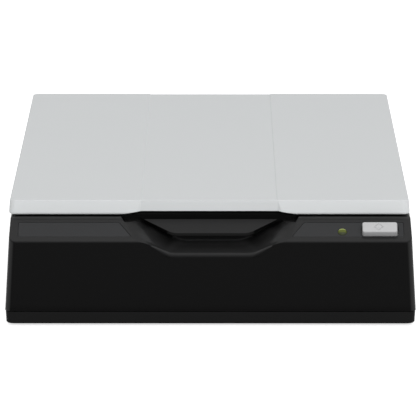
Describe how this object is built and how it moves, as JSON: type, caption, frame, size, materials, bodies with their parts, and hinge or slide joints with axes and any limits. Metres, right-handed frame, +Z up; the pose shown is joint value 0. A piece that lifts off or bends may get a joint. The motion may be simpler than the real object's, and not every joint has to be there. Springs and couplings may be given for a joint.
{
  "type": "flatbed scanner",
  "caption": "Compact flatbed document scanner: hinged light grey lid, black case, sloped control panel with scan button and light, and a belt-driven sensor carriage.",
  "frame": {"origin": "under the middle of the case, on the surface that the feet stand on", "axes": "+X to the right seen from the front, +Y from the front to the hinged rear edge, +Z up; the control panel faces -Y"},
  "size_m": [0.145, 0.234, 0.043],
  "materials": {
    "lid_plastic": "fine satin",
    "case_plastic": "satin gloss",
    "panel_plastic": "satin",
    "grip_plastic": "satin",
    "button_plastic": "satin",
    "inner_plastic": "matte",
    "chip_plastic": "matte",
    "gear_plastic": "satin",
    "cable_plastic": "smooth",
    "board": "lacquered",
    "light_lens": "clear tinted",
    "pad_white": "matte",
    "foam": "open cell",
    "rubber": "matte",
    "steel": "ground",
    "zinc": "plated",
    "bronze": "sintered",
    "clear_glass": "polished"
  },
  "bodies": {
    "case": {"lower_case": "case_plastic", "upper_case": "case_plastic", "foot_front_left": "rubber", "foot_front_right": "rubber", "foot_rear_left": "rubber", "foot_rear_right": "rubber", "case_screw_front_left": "zinc", "case_screw_front_right": "zinc", "case_screw_rear_left": "zinc", "case_screw_rear_right": "zinc", "panel_film_left": "panel_plastic", "panel_film_right": "panel_plastic", "switch_body": "zinc", "light_pipe": "light_lens", "light_chip": "cable_plastic", "panel_board": "board", "platen_glass": "clear_glass", "reference_strip": "pad_white", "guide_rod": "steel", "rod_clip_front": "inner_plastic", "rod_clip_rear": "inner_plastic", "drive_belt": "rubber", "drive_plate": "steel", "idler_plate": "steel", "stepper_motor": "zinc", "main_board": "board", "controller_chip": "chip_plastic", "cable_connector": "gear_plastic", "usb_socket": "zinc", "power_socket": "chip_plastic", "flat_cable": "cable_plastic", "hinge_pin_left": "steel", "hinge_pin_right": "steel"},
    "scan_button": {"scan_button": "button_plastic", "switch_plunger": "inner_plastic"},
    "lid": {"lid_cover": "lid_plastic", "lid_tray": "grip_plastic", "lid_grip": "grip_plastic", "pad_foam": "foam", "pad_sheet": "pad_white", "lid_bumper_left": "rubber", "lid_bumper_right": "rubber"},
    "carriage": {"carriage_tray": "inner_plastic", "rod_bush": "bronze", "rail_slider": "gear_plastic", "sensor_housing": "chip_plastic", "sensor_window": "clear_glass", "lens_array": "inner_plastic", "light_guide": "clear_glass", "sensor_board": "board", "sensor_spring_left": "steel", "sensor_spring_right": "steel", "belt_clamp": "gear_plastic"},
    "drive_gear": {"drive_gear": "gear_plastic"},
    "idler_pulley": {"idler_pulley": "gear_plastic"},
    "motor_pinion": {"motor_pinion": "bronze"}
  },
  "joints": [
    {"name": "lid_hinge", "type": "hinge", "parent": "case", "child": "lid", "pos_m": [0, 0.11263, 0.0346], "axis": [-1, 0, 0], "range_deg": [0, 100]},
    {"name": "button_press", "type": "slide", "parent": "case", "child": "scan_button", "axis": [0, 0.5373, -0.8434], "range_m": [0, 0.0008], "stiffness_N_per_m": 400, "springref_m": -0.001},
    {"name": "carriage_slide", "type": "slide", "parent": "case", "child": "carriage", "axis": [0, -1, 0], "range_m": [0, 0.146]},
    {"name": "gear_spin", "type": "hinge", "parent": "case", "child": "drive_gear", "pos_m": [0.018, 0.096, 0.01], "axis": [0, 0, 1], "range_deg": [0, 1420]},
    {"name": "idler_spin", "type": "hinge", "parent": "case", "child": "idler_pulley", "pos_m": [0.018, -0.097, 0.006], "axis": [0, 0, 1], "range_deg": [0, 1420]},
    {"name": "pinion_spin", "type": "hinge", "parent": "case", "child": "motor_pinion", "pos_m": [0.034, 0.096, 0.01], "axis": [0, 0, 1], "range_deg": [-4260, 0]}
  ],
  "couplings": [
    {"joint": "gear_spin", "follows": "carriage_slide", "rad_per_m": 169.49},
    {"joint": "idler_spin", "follows": "carriage_slide", "rad_per_m": 169.49},
    {"joint": "pinion_spin", "follows": "carriage_slide", "rad_per_m": -508.47}
  ]
}
